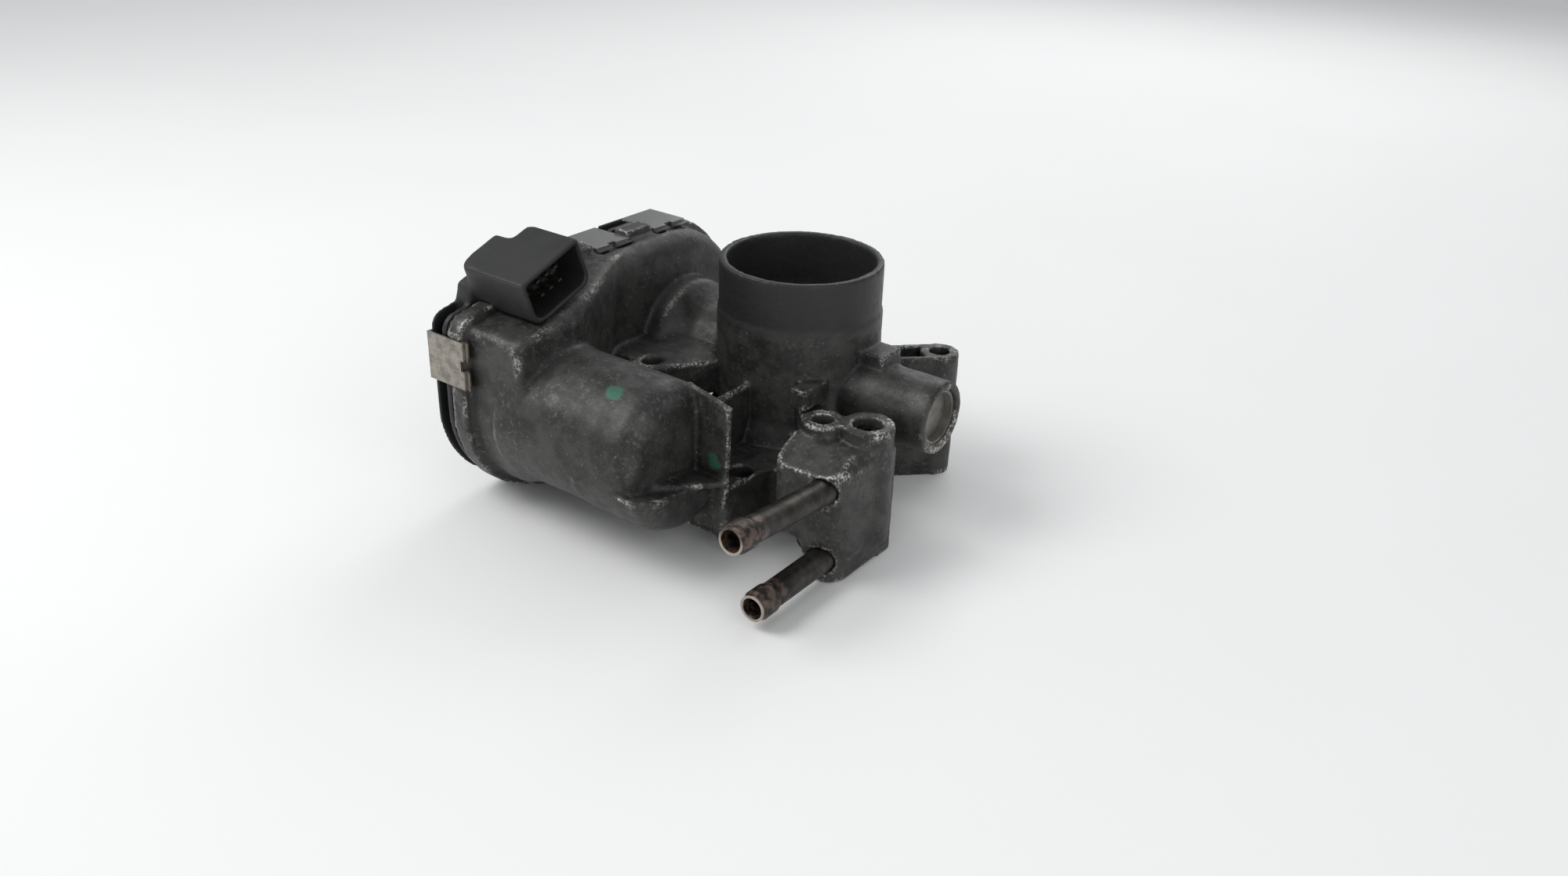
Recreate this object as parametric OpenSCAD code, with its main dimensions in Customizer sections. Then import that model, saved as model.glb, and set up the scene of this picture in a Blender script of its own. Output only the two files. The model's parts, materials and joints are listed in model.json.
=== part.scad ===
// Electronic throttle body: a die-cast housing with a gear case on its side, a motor beside the bore,
// a clipped plastic cover that carries the connector, and a coolant block with two pipes.
// +Z runs up the bore to the air inlet, +X along the throttle shaft away from the gears, and -Y
// towards the motor and the coolant pipes. The origin is the bore's axis at the flange face.

/* [Bore and throat] */
// Diameter of the bore at the throttle plate
bore_d = 50; // [42:0.5:60]
// Wall of the inlet collar
throat_wall = 3; // [2.4:0.1:4]
// Height of the rim above the flange face
body_h = 82.5; // [70:0.5:99]
// Height of the smooth collar under the rim
collar_h = 17; // [12:0.5:20]
// Widening of the bore's radius at the rim
rim_flare = 0.4; // [0.2:0.1:0.8]
// Wall of the casting round the lower bore
base_wall = 9; // [7:0.5:11]
// Height of the thick lower part of the casting
base_h = 21; // [16:0.5:24]

/* [Mounting flange] */
// Spacing of the four mounting holes along both sides of their square
bolt_spacing = 72; // [68:0.5:86]
// Diameter of a mounting hole
bolt_d = 7.2; // [6:0.1:8.4]
// Outer diameter of a mounting boss
boss_d = 14; // [12:0.5:16]
// Height of the mounting bosses
boss_h = 46.5; // [40:0.5:54]
// Diameter of the manifold seal's section
o_ring_d = 3; // [2:0.1:3.6]

/* [Throttle shaft and plate] */
// Height of the throttle shaft above the flange face
shaft_z = 40.5; // [40.5:0.5:48]
// Diameter of the throttle shaft
shaft_d = 8; // [6.8:0.1:9.6]
// Thickness of the throttle plate
plate_t = 2; // [1.6:0.1:2.4]
// Gap all round between plate and bore
plate_gap = 0.3; // [0.25:0.05:0.5]
// Opening of the plate at rest, which lets the engine limp home
rest_angle = 7; // [5:0.5:9]
// Outer diameter of the boss at the shaft's plugged end
end_boss_d = 25; // [24:0.5:30]
// Reach of that boss beyond the throat
end_boss_reach = 31; // [28:0.5:38]
// Outer diameter of the ball bearing and the end plug
bearing_d = 19; // [17:0.5:20]
// Width of the ball bearing
bearing_w = 6; // [5:0.5:7]

/* [Gear train] */
// Module of the gear teeth
gear_m = 0.8; // [0.7:0.02:0.82]
// Face width of the sector gear
sector_w = 5.5; // [4.5:0.5:6]
// Face width of the large idler wheel
idler_w = 4.5; // [3.5:0.5:5]
// Diameter of the idler's pin
idler_pin_d = 5; // [4:0.1:6]

/* [Gear case and cover] */
// Outer radius of the case round the throttle shaft
case_r = 40.5; // [38.5:0.5:42]
// Wall of the case
case_wall = 2.4; // [2:0.1:2.6]
// Distance from the throat to the outside of the case floor
case_gap = 25; // [22:0.5:30]
// Depth of the gear space from the floor to the joint face
gear_space = 11.5; // [11.5:0.5:13]
// Thickness of the case's outer rim
rim_t = 6.5; // [5:0.5:8]
// Depth of the cover from the joint to its face
cover_depth = 7; // [6.5:0.5:9]
// Wall of the cover
cover_wall = 2.5; // [2:0.1:3]
// Thickness of the cover seal
seal_t = 1.5; // [1.2:0.1:2]
// Length of a cover clip along the rim
clip_len = 16.5; // [13:0.5:20]
// Thickness of the clip strip
clip_t = 0.8; // [0.6:0.1:1]

/* [Motor] */
// Diameter of the motor's steel can
motor_d = 39.4; // [33:0.2:41]
// Length of the motor's steel can
motor_len = 59; // [50:1:70]
// Wall of the motor casing
casing_wall = 3.5; // [3:0.1:4.5]
// Diameter of the motor's shaft
motor_shaft_d = 3.2; // [2.7:0.1:4]

/* [Coolant block] */
// Outer diameter of the coolant pipes
pipe_d = 8.6; // [7.2:0.1:10]
// Wall of the coolant pipes
pipe_wall = 0.8; // [0.6:0.1:1]
// Free length of the upper pipe
pipe_upper_len = 44.5; // [37:0.5:54]
// Free length of the lower pipe
pipe_lower_len = 33.5; // [28:0.5:40]
// Upward lean of the upper pipe
pipe_upper_lean = 4.5; // [0:0.5:6]
// Height of the lower pipe above the flange face
pipe_lower_z = 7.8; // [7:0.1:10]
// Height of the upper pipe's mouth in the block
pipe_upper_z = 32.7; // [28:0.1:33]

/* [Connector] */
// Width of the connector shroud
con_w = 26.8; // [24:0.2:30]
// Height of the connector shroud
con_h = 17; // [15:0.2:19]
// Tilt of the connector about the shaft's direction
con_tilt = 20; // [15:1:22]
// Wall of the connector shroud
con_wall = 1.6; // [1.2:0.1:2]

/* [Hidden] */
$fn = 96;

eps = 0.01;
over = 1;

// Clearances: running fits on shafts, free gaps between moving pieces, and loose seats.
run_gap = 0.03;
free_gap = 0.3;
seat_gap = 0.3;

// Bore and throat.
bore_r = bore_d / 2;
throat_r = bore_r + throat_wall;
base_r = bore_r + base_wall;
half_spacing = bolt_spacing / 2;
shaft_r = shaft_d / 2;
shaft_hole_r = shaft_r + free_gap;

// Shaft end boss, from its open end inwards: plug, bearing, seal.
end_boss_r = end_boss_d / 2;
end_x = throat_r + end_boss_reach;
plug_recess = 1.5;
plug_t = 4;
plug_wall = 1;
bearing_r = bearing_d / 2;
bearing_x = end_x - plug_recess - plug_t - 0.5 - bearing_w;
seal_r = shaft_r + 3;
seal_w = 4;

// Gear case along X: outside of the floor, inside of the floor, joint face, cover face.
floor_t = 6;
face_x = -(throat_r + case_gap);
floor_x = face_x - floor_t;
joint_x = floor_x - gear_space;
cover_x = joint_x - seal_t;
outer_x = cover_x - cover_depth;
rim_x = joint_x + rim_t;
rim_step = 2.8;
case_inset = rim_step + case_wall;
cover_side = 3.2;

// Gear train: sector on the shaft, double idler, motor pinion. Angles are seen along -X.
sector_n = 84;
idler_small_n = 18;
idler_large_n = 68;
pinion_n = 12;
pressure_angle = 25;
addendum = 0.8;
dedendum = 1.2;
backlash = 0.24;
idler_rise = 4;
motor_drop = 11.4;
sector_dist = gear_m * (sector_n + idler_small_n) / 2;
idler_dist = gear_m * (idler_large_n + pinion_n) / 2;
idler_dir = 180 - idler_rise;
motor_dir = 180 + motor_drop;
idler_y = sector_dist * cos(idler_dir);
idler_z = shaft_z + sector_dist * sin(idler_dir);
motor_y = idler_y + idler_dist * cos(motor_dir);
motor_z = idler_z + idler_dist * sin(motor_dir);
sector_x = floor_x - 1 - sector_w;
idler_x = sector_x - 2.2 - idler_w;
pinion_x = idler_x - 0.5;
hub_r = 9;
idler_pin_r = idler_pin_d / 2;
sector_back = 17;
sector_front = 90;
open_travel = 80;

// Case outline in the YZ plane: a round end about the shaft, a round corner about the motor side,
// a flat bottom and a top that falls towards the motor.
corner_r = 6.5;
low_z = shaft_z - case_r;
top_z = shaft_z + case_r;
end_y = motor_y + 13.5;
end_r = motor_z - low_z;
side_y = end_y - end_r;
slope_y = -36;
slope_angle = 10.5;
corner_z = top_z - 16.5;
edge_r = 9;

// Stops: an arm on the sector meets a grub screw when closed and a cast post when wide open.
arm_half = 3;
arm_len = 28;
arm_dir = rest_angle - 40;
stop_x = sector_x + sector_w / 2;
stop_y = 19;
stop_r = 2;
stop_len = 14.5;
stop_z = shaft_z - (stop_y + stop_r) * tan(rest_angle - arm_dir) - arm_half / cos(rest_angle - arm_dir)
    - free_gap;
post_r = 4;
post_arm = 24;
post_dir = arm_dir + open_travel + asin((arm_half + post_r + free_gap) / post_arm);

// Motor casing beside the bore.
motor_r = motor_d / 2;
casing_in_r = motor_r + seat_gap;
casing_r = casing_in_r + casing_wall;
casing_end_x = floor_x + motor_len + 5.3;
casing_round = 8;
casing_shoulder_x = face_x + 12;
can_wall = 1.2;
magnet_t = 3.4;
armature_r = motor_r - can_wall - magnet_t - 1;
motor_shaft_r = motor_shaft_d / 2;
motor_end_x = floor_x + motor_len;

// Coolant block beside the bolt boss.
block_side_x = half_spacing + 20;
block_front_y = -half_spacing - 19.5;
block_round = 8;
block_h = 37.5;
pipe_r = pipe_d / 2;
pipe_x = half_spacing + 13.3;
port_x = half_spacing + 12.7;
port_y = -half_spacing + 6.4;
port_boss_r = 8.8;
port_r = 4.8;
pipe_seat = 14;
passage_r = pipe_r - pipe_wall;

// Connector on the cover, above the motor casing.
con_drop = con_h / 2 - 7.3;
con_y = motor_y + 0.9 + con_drop * sin(con_tilt);
con_z = top_z + 1.8 - con_drop * cos(con_tilt);
con_rear_r = 6;
con_mouth_x = cover_x + 27.5;
con_socket = 14;
con_step_x = cover_x + 4.5;

// Turns a flat outline in the YZ plane into a plate between two X positions.
module along_x(x0, x1) {
    translate([x0, 0, 0]) rotate([90, 0, 90]) linear_extrude(x1 - x0) children();
}

module rod_x(x0, x1, r, y = 0, z = 0) {
    translate([x0, y, z]) rotate([0, 90, 0]) cylinder(r = r, h = x1 - x0);
}

module tube_x(x0, x1, r_out, r_in, y = 0, z = 0) {
    difference() {
        rod_x(x0, x1, r_out, y, z);
        rod_x(x0 - over, x1 + over, r_in, y, z);
    }
}

module box(x0, x1, y0, y1, z0, z1) {
    translate([x0, y0, z0]) cube([x1 - x0, y1 - y0, z1 - z0]);
}

module post(x, y, r, z0, z1) {
    translate([x, y, z0]) cylinder(r = r, h = z1 - z0);
}

// The case outline, drawn in by an inset.
module case_outline(inset) {
    r1 = case_r - inset;
    r2 = end_r - inset;
    r3 = max(corner_r - inset, 1);
    cy = side_y + inset + r3;
    sy = slope_y + inset * tan(slope_angle / 2);
    cz = top_z - inset - (sy - cy) * tan(slope_angle) - r3 / cos(slope_angle);
    translate([0, shaft_z]) circle(r = r1);
    translate([end_y, motor_z]) circle(r = r2);
    translate([cy, cz]) circle(r = r3);
    polygon([
        [0, low_z + inset], [0, top_z - inset], [sy, top_z - inset],
        [cy - r3 * sin(slope_angle), cz + r3 * cos(slope_angle)],
        [cy, cz], [cy - r3, cz], [cy - r3, motor_z], [end_y, motor_z], [end_y, low_z + inset]
    ]);
}

// Clip seats: the middle of each clip on the rim, and the direction it faces, in the YZ plane.
clip_depth = 2.4;
clip_catch = 1.4;
clip_seat_z = top_z - clip_depth;
clip_seat_low = low_z + clip_depth;
CLIPS = [
    [side_y + 0.6, shaft_z + 15.2, 180],
    [-25.2, clip_seat_z, 90],
    [4.8, clip_seat_z, 90],
    [-25.2, clip_seat_low, -90],
    [4.8, clip_seat_low, -90],
    [case_r - clip_depth, shaft_z, 0]
];

module at_clip(c) {
    translate([0, c[0], c[1]]) rotate([c[2], 0, 0]) children();
}

// Space that each clip takes out of the rims, and behind the rim for its sprung lip.
module clip_pockets() {
    half = clip_len / 2 + 0.4;
    for (c = CLIPS) at_clip(c) {
        box(outer_x - over, rim_x + over, -0.01, 12, -half, half);
        box(rim_x, rim_x + 3.4, -clip_catch - 0.2, 12, -half, half);
    }
}

// ---------------------------------------------------------------- housing

module throat_outside() {
    cylinder(r = throat_r, h = body_h);
    cylinder(r = throat_r + 0.5, h = body_h - collar_h);
    cylinder(r = base_r, h = base_h);
    translate([0, 0, base_h]) cylinder(r1 = base_r - 0.5, r2 = throat_r + 0.5, h = 12);
}

module bolt_bosses() {
    for (sx = [-1, 1], sy = [-1, 1]) {
        post(sx * half_spacing, sy * half_spacing, boss_d / 2, 0, boss_h);
        arm(sx, sy, boss_d - 2, 0, 12);
    }
}

// A straight arm from the bore's axis to a mounting boss.
module arm(sx, sy, width, z0, z1) {
    reach = norm([half_spacing, half_spacing]);
    rotate([0, 0, atan2(sy, sx)]) translate([0, -width / 2, z0]) cube([reach, width, z1 - z0]);
}

// The two ribs and the web that tie a boss to the throat near its top.
module ribbed_arm(sx, sy) {
    arm(sx, sy, boss_d - 1, 0, boss_h - 5);
    reach = norm([half_spacing, half_spacing]);
    rotate([0, 0, atan2(sy, sx)])
        for (side = [-1, 1])
            translate([0, side * (boss_d / 2 - 1.7) - 1.1, boss_h - 8]) cube([reach, 2.2, 8]);
}

module shaft_bosses() {
    rod_x(0, end_x, end_boss_r, 0, shaft_z);
    rod_x(face_x - eps, 0, 14, 0, shaft_z);
    rod_x(face_x - eps, face_x + 7, 22, 0, shaft_z);
    translate([face_x + 6, 0, shaft_z]) rotate([0, 90, 0]) cylinder(r1 = 22, r2 = 13, h = 9);
}

// A square lug that locates the body on its fixture, above the shaft boss.
module lug() {
    box(throat_r - 6, throat_r + 9, -4, 8, shaft_z, shaft_z + 16.5);
}

// Half section of the case body behind its rim, X along the shaft, with a rounded outer edge.
module case_edge() {
    half = case_r - rim_step + 0.6;
    translate([rim_x - over, 0]) square([face_x - rim_x + over, half - edge_r]);
    translate([rim_x - over, 0]) square([face_x - rim_x + over - edge_r, half]);
    intersection() {
        translate([face_x - edge_r, half - edge_r]) circle(r = edge_r);
        translate([rim_x - over, 0]) square([face_x - rim_x + over, half]);
    }
}

module case_shell() {
    along_x(joint_x, rim_x) case_outline(0);
    intersection() {
        along_x(rim_x - eps, face_x) case_outline(rim_step);
        union() {
            translate([0, 0, shaft_z]) rotate([0, 90, 0]) rotate_extrude() rotate(90)
                case_edge();
            rotate([90, 0, 0]) linear_extrude(-side_y) {
                translate([0, shaft_z]) case_edge();
                translate([0, shaft_z]) mirror([0, 1]) case_edge();
            }
        }
    }
    intersection() {
        along_x(rim_x - eps, casing_shoulder_x) case_outline(rim_step);
        linear_extrude(top_z + over) polygon([
            [rim_x, side_y - 5], [casing_shoulder_x - 5, side_y - 5],
            [casing_shoulder_x, side_y + 5], [casing_shoulder_x, motor_y + 6],
            [casing_shoulder_x - 3, motor_y + 15], [face_x - 4, slope_y + 10], [rim_x, slope_y + 22]
        ]);
        translate([0, 60, 0]) rotate([90, 0, 0]) linear_extrude(200) polygon([
            [face_x - edge_r, low_z + 6], [face_x + 2, low_z + 12], [casing_shoulder_x, low_z + 18],
            [casing_shoulder_x, top_z - 13], [casing_shoulder_x - 5, top_z - 7],
            [face_x - edge_r, top_z]
        ]);
    }
}

// Motor casing: a tube with a rounded end, which reaches further below the rib.
module casing_body(end_x, length, r) {
    translate([end_x, motor_y, motor_z]) rotate([0, -90, 0]) rotate_extrude() {
        square([r - casing_round, casing_round + 1]);
        translate([0, casing_round]) square([r, length - casing_round]);
        intersection() {
            translate([r - casing_round, casing_round]) circle(r = casing_round);
            square([r, casing_round + 1]);
        }
    }
}

module motor_casing() {
    casing_body(casing_end_x, casing_end_x - face_x, casing_r);
    intersection() {
        casing_body(casing_end_x + 7, 30, casing_r + 0.6);
        along_x(face_x, casing_end_x + 8) translate([motor_y + 11, motor_z - 10.5]) rotate(-8)
            translate([-40, -40]) square([80, 40]);
    }
}

// Fin along the casing's end, the gusset that braces it, and the web from it to the throat.
fin_y = motor_y + 12;
fin_t = 2.2;
fin_x = casing_end_x + 13.5;
gusset_z = motor_z - 11;
module casing_webs() {
    translate([0, fin_y, 0]) rotate([90, 0, 0]) linear_extrude(fin_t) polygon([
        [casing_end_x - 14, motor_z], [casing_end_x - 10, motor_z + casing_r - 4],
        [casing_end_x - 3, motor_z + 21], [fin_x, motor_z + 17], [fin_x - 1, gusset_z],
        [fin_x - 3.5, 4], [fin_x - 6, 9], [casing_end_x, 9], [casing_end_x - 8, 14]
    ]);
    translate([0, fin_y - 1, gusset_z]) rotate([-8, 0, 0]) linear_extrude(2.2) polygon([
        [casing_end_x - 3, -24], [casing_end_x, -24], [fin_x - 0.6, -1.5], [fin_x - 0.6, 0],
        [casing_end_x - 3, 0]
    ]);
    along_x(casing_end_x - 7, casing_end_x - 4.6) polygon([
        [fin_y - 1, motor_z - 3], [fin_y - 1, motor_z + 8], [-throat_r + 4, motor_z + 8.5],
        [-throat_r + 4, 0], [-base_r - 2, 0], [fin_y - 1, 14]
    ]);
}

// Level shelf between the throat, the first boss, the shaft tower and the case.
module shelf() {
    translate([0, 0, boss_h - 12]) linear_extrude(12) polygon([
        [face_x - 1, -half_spacing - 4], [-half_spacing - 4, -half_spacing - 5.5],
        [-half_spacing + 5.5, -half_spacing - 4.3], [-throat_r * 0.62, -throat_r * 0.78],
        [-throat_r * 0.6, 0], [face_x - 1, 0]
    ]);
}

// Low shelf with a hole, between the fin, the throat's base and the coolant block.
lug_hole_x = 13;
lug_hole_y = -half_spacing - 12.4;
lug_hole_r = 4;
low_shelf_h = 25;
module low_shelf() {
    translate([0, 0, low_shelf_h - 19]) linear_extrude(19) polygon([
        [casing_end_x - 6, fin_y - 1], [fin_x - 1.5, fin_y - 1], [fin_x - 0.7, -half_spacing - 12],
        [fin_x + 1, -half_spacing - 5.6], [fin_x + 4.5, -half_spacing - 2], [half_spacing - 6, -half_spacing],
        [half_spacing - 10, -18], [casing_end_x - 6, -20]
    ]);
    box(casing_end_x - 6, base_r * 0.75, -base_r - 3, -20, 0, low_shelf_h - 1);
}

module block_plan() {
    translate([half_spacing - 1, block_front_y]) square([block_side_x - block_round - half_spacing + 1, 30]);
    translate([half_spacing, block_front_y + block_round])
        square([block_side_x - half_spacing, -block_front_y - block_round - 22.5]);
    translate([block_side_x - block_round, block_front_y + block_round]) circle(r = block_round);
    translate([half_spacing - 1, block_front_y + 5]) circle(r = 5);
    translate([half_spacing - 6, block_front_y + 5]) square([10, 20]);
}

module coolant_block() {
    intersection() {
        linear_extrude(block_h + 9) block_plan();
        rotate([90, 0, 90]) linear_extrude(block_side_x) polygon([
            [block_front_y, 0], [block_front_y, block_h], [-half_spacing - 7.5, boss_h - 3.5],
            [-half_spacing - 2, boss_h - 3.5], [-22, boss_h - 5], [-22, 0]
        ]);
        rotate([90, 0, 0]) linear_extrude(80) polygon([
            [half_spacing + 13, 0], [block_side_x, 0], [block_side_x, boss_h - 9],
            [block_side_x - 3, boss_h - 5], [0, boss_h], [0, 13], [half_spacing + 5, 13],
            [half_spacing + 9, 3]
        ]);
    }
    post(port_x, port_y, port_boss_r, 6, boss_h);
    linear_extrude(boss_h - 16) polygon([
        [20, -20], [half_spacing + 6, -18], [port_x + 4, port_y], [half_spacing, -half_spacing - 4],
        [half_spacing - 7, -half_spacing], [14, -24]
    ]);
    arm(1, -1, 9, 0, boss_h - 6);
    box(throat_r * 0.63, throat_r * 0.86, -throat_r - 1.5, -throat_r * 0.6, boss_h - 4, boss_h + 3);
}

module housing_solid() {
    throat_outside();
    bolt_bosses();
    ribbed_arm(1, 1);
    ribbed_arm(-1, 1);
    shaft_bosses();
    lug();
    case_shell();
    motor_casing();
    casing_webs();
    shelf();
    low_shelf();
    coolant_block();
}

spring_r = 15.5;
spring_wire = 2;
pocket_r = spring_r + spring_wire / 2 + 1;
sleeve_r = shaft_r + 5;
pocket_x = face_x + 5;
needle_w = 12;
needle_r = shaft_r + 2.2;
needle_x = floor_x + 2;

module housing_cuts() {
    translate([0, 0, -over]) cylinder(r = bore_r, h = body_h + 2 * over);
    translate([0, 0, body_h - 20]) cylinder(r1 = bore_r, r2 = bore_r + rim_flare, h = 20 + eps);
    for (sx = [-1, 1], sy = [-1, 1])
        post(sx * half_spacing, sy * half_spacing, bolt_d / 2, -over, boss_h + over);
    rod_x(floor_x - over, end_x + over, shaft_hole_r, 0, shaft_z);
    rod_x(bearing_x, end_x + over, bearing_r, 0, shaft_z);
    rod_x(bearing_x - seal_w, bearing_x + over, seal_r, 0, shaft_z);
    rod_x(needle_x, needle_x + needle_w, needle_r, 0, shaft_z);
    rod_x(floor_x - over, needle_x + over, needle_r, 0, shaft_z);
    rod_x(needle_x + needle_w - eps, needle_x + needle_w + seal_w, seal_r, 0, shaft_z);
    difference() {
        rod_x(floor_x - over, pocket_x, pocket_r, 0, shaft_z);
        rod_x(floor_x - 2 * over, pocket_x + over, sleeve_r, 0, shaft_z);
    }
    along_x(joint_x - over, floor_x) case_outline(case_inset);
    rod_x(joint_x - over, motor_end_x + 2.3, casing_in_r, motor_y, motor_z);
    rod_x(floor_x - over, floor_x + 4.5, idler_pin_r, idler_y, idler_z);
    for (s = [-1, 1])
        rod_x(floor_x - over, floor_x + 10, screw_r, motor_y, motor_z + s * screw_arm);
    clip_pockets();
    post(stop_x, stop_y, stop_r, low_z - over, stop_z);
    translate([0, 0, -eps]) o_ring_groove();
    post(lug_hole_x, lug_hole_y, lug_hole_r, -over, low_shelf_h + over);
    post(port_x, port_y, port_r, boss_h - 9, boss_h + over);
    post(port_x, port_y, passage_r, pipe_lower_z - passage_r, boss_h);
    pipe_bore(pipe_lower_z, 0);
    pipe_bore(pipe_upper_z, pipe_upper_lean);
}

// A stepped bore for a pipe: the seat, then the coolant passage to the port.
module pipe_bore(z, lean) {
    translate([pipe_x, block_front_y, z]) rotate([90 - lean, 0, 0]) {
        translate([0, 0, -pipe_seat]) cylinder(r = pipe_r, h = pipe_seat + 10);
        translate([0, 0, block_front_y - port_y]) cylinder(r = passage_r, h = port_y - block_front_y);
    }
}

groove_r = base_r - 4.5;
module o_ring_groove() {
    difference() {
        cylinder(r = groove_r + o_ring_d / 2 + 0.1, h = o_ring_d * 0.75);
        translate([0, 0, -over]) cylinder(r = groove_r - o_ring_d / 2 - 0.1, h = o_ring_d * 0.75 + 2 * over);
    }
}

module housing() color("dimgray") {
    difference() {
        housing_solid();
        housing_cuts();
    }
    rod_x(sector_x, floor_x + eps, post_r, post_arm * cos(post_dir), shaft_z + post_arm * sin(post_dir));
}

// ---------------------------------------------------------------- cover

// Section of the connector about its own middle: square top corners, rounded lower ones.
module connector_section(inset) {
    w = con_w / 2 - inset;
    h = con_h / 2 - inset;
    r = 4 - inset / 2;
    translate([0, r / 2]) square([2 * w, 2 * h - r], center = true);
    for (s = [-1, 1]) translate([s * (w - r), -h + r]) circle(r = r);
    translate([0, -h + r / 2 + eps]) square([2 * (w - r), r], center = true);
}

module at_connector(x0, x1) {
    along_x(x0, x1) translate([con_y, con_z]) rotate(con_tilt) children();
}

// Plan of the shell's rear end, whose outer corner is rounded.
module connector_rear(x0, x1) {
    u = -con_w / 2 + con_rear_r - 0.3;
    translate([0, con_y, con_z]) rotate([con_tilt, 0, 0]) translate([0, 0, -con_h])
        linear_extrude(2 * con_h) {
            translate([x0 + con_rear_r, u]) circle(r = con_rear_r);
            translate([x0, u]) square([x1 - x0, con_w]);
            translate([x0 + con_rear_r, -con_w]) square([x1 - x0 - con_rear_r, con_w]);
        }
}

module connector_shell() {
    difference() {
        union() {
            at_connector(con_step_x, con_mouth_x) connector_section(0);
            intersection() {
                at_connector(outer_x + 4, con_step_x + eps) intersection() {
                    connector_section(0);
                    translate([-con_w, -con_h]) square([con_w + 5.5, 2 * con_h]);
                }
                connector_rear(outer_x + 4, con_step_x + over);
            }
            along_x(outer_x, cover_x) polygon([
                [con_y - 13, corner_z], [con_y - 13, con_z - 4], [con_y + 10, con_z + 3],
                [con_y + 12, corner_z + 6]
            ]);
        }
        at_connector(con_mouth_x - con_socket, con_mouth_x + over) connector_section(con_wall);
        along_x(joint_x, rim_x + 0.3) case_outline(-0.3);
        along_x(rim_x, con_mouth_x + over) case_outline(rim_step - 0.3);
    }
}

pin_y = 4.2;
pin_z = 2.6;
module each_pin() {
    for (row = [-1, 1], col = [-1, 0, 1]) translate([col * pin_y, row * pin_z]) children();
}

bearing_sock_r = idler_pin_r + 2;
module gear_cover() color([0.16, 0.16, 0.16]) difference() {
    union() {
        difference() {
            along_x(outer_x, outer_x + 1.1) case_outline(0.8);
            along_x(outer_x + 1, joint_x) case_outline(0);
            along_x(outer_x + cover_wall, joint_x + over) case_outline(cover_side);
        }
        difference() {
            union() {
                along_x(cover_x - 2.2, cover_x) case_outline(1);
                along_x(cover_x - 2.2, joint_x + 1.6) case_outline(case_inset + 0.3);
            }
            along_x(cover_x - 3, joint_x + 3) case_outline(case_inset + 1.8);
        }
        connector_shell();
        rod_x(outer_x + eps, idler_x - 1, bearing_sock_r, idler_y, idler_z);
        for (z = [shaft_z - 18, shaft_z, shaft_z + 18])
            box(outer_x - 1, outer_x + 1, motor_y + 8, 20, z - 1, z + 1);
        for (y = [-60, -30, 0])
            box(outer_x - 1, outer_x + 1, y - 1, y + 1, shaft_z - 26, shaft_z + 26);
    }
    rod_x(outer_x + cover_wall, idler_x, idler_pin_r + run_gap, idler_y, idler_z);
    at_connector(con_step_x - 2, con_mouth_x - con_socket + over) each_pin()
        square([1.5, 0.8], center = true);
    clip_pockets();
}

module cover_seal() color([0.1, 0.1, 0.1]) along_x(cover_x, joint_x) difference() {
    case_outline(cover_side + 0.1);
    case_outline(case_inset);
}

// One spring clip, bent from strip: a face along the rim, a hook over the cover, a sprung lip behind.
module clip() {
    x0 = outer_x - clip_t;
    x1 = rim_x + clip_t;
    half = clip_len / 2;
    difference() {
        union() {
            box(x0, x1, 0, clip_t, -half, half);
            box(x0, outer_x - 0.02, -3.2, clip_t, -half, half);
            box(rim_x + 0.02, x1, -clip_catch, clip_t, -half, half);
            translate([0, 0, -half]) linear_extrude(clip_len) polygon([
                [x1 - clip_t, -clip_catch], [x1 + 1.8, 1 - clip_catch], [x1 + 1.8, 1.7 - clip_catch],
                [x1 - clip_t, clip_t - clip_catch]
            ]);
        }
        box(rim_x - 0.6, x1 + 3, -6, 2, -1.8, 1.8);
    }
}

module cover_clips() color([0.55, 0.53, 0.49]) for (c = CLIPS) at_clip(c) clip();

module connector_pins() color([0.72, 0.66, 0.5])
    at_connector(con_step_x - 2, con_mouth_x - 4) each_pin() square([1.5, 0.8], center = true);

module sensor_board() color([0.1, 0.32, 0.2]) difference() {
    box(outer_x + cover_wall, outer_x + cover_wall + 1.2, -15, 13, shaft_z - 12, shaft_z + 14);
    rod_x(outer_x, cover_x, 1.2, -12, shaft_z + 11);
    rod_x(outer_x, cover_x, 1.2, 10, shaft_z - 9);
}

// ---------------------------------------------------------------- shaft parts in the housing

// Dished plug that closes the bearing bore.
module shaft_end_plug() color([0.5, 0.47, 0.42]) difference() {
    rod_x(end_x - plug_recess - plug_t, end_x - plug_recess, bearing_r, 0, shaft_z);
    rod_x(end_x - plug_recess - plug_t + plug_wall, end_x, bearing_r - plug_wall, 0, shaft_z);
}

module end_bearing() color([0.62, 0.62, 0.64]) {
    x1 = bearing_x + bearing_w;
    inner_r = shaft_r + (bearing_r - shaft_r) * 0.3;
    outer_r = shaft_r + (bearing_r - shaft_r) * 0.7;
    mid_r = (inner_r + outer_r) / 2;
    ball_r = (outer_r - inner_r) / 2 + 0.45;
    difference() {
        union() {
            tube_x(bearing_x, x1, bearing_r, outer_r, 0, shaft_z);
            tube_x(bearing_x, x1, inner_r, shaft_r + run_gap, 0, shaft_z);
        }
        translate([bearing_x + bearing_w / 2, 0, shaft_z]) rotate([0, 90, 0]) rotate_extrude()
            translate([mid_r, 0]) circle(r = ball_r + 0.05);
    }
    for (i = [0 : 7]) translate([bearing_x + bearing_w / 2, 0, shaft_z]) rotate([i * 45, 0, 0])
        translate([0, 0, mid_r]) sphere(r = ball_r, $fn = 24);
}

module needle_bearing() color([0.6, 0.6, 0.62])
    tube_x(needle_x, needle_x + needle_w, needle_r, shaft_r + run_gap, 0, shaft_z);

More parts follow.
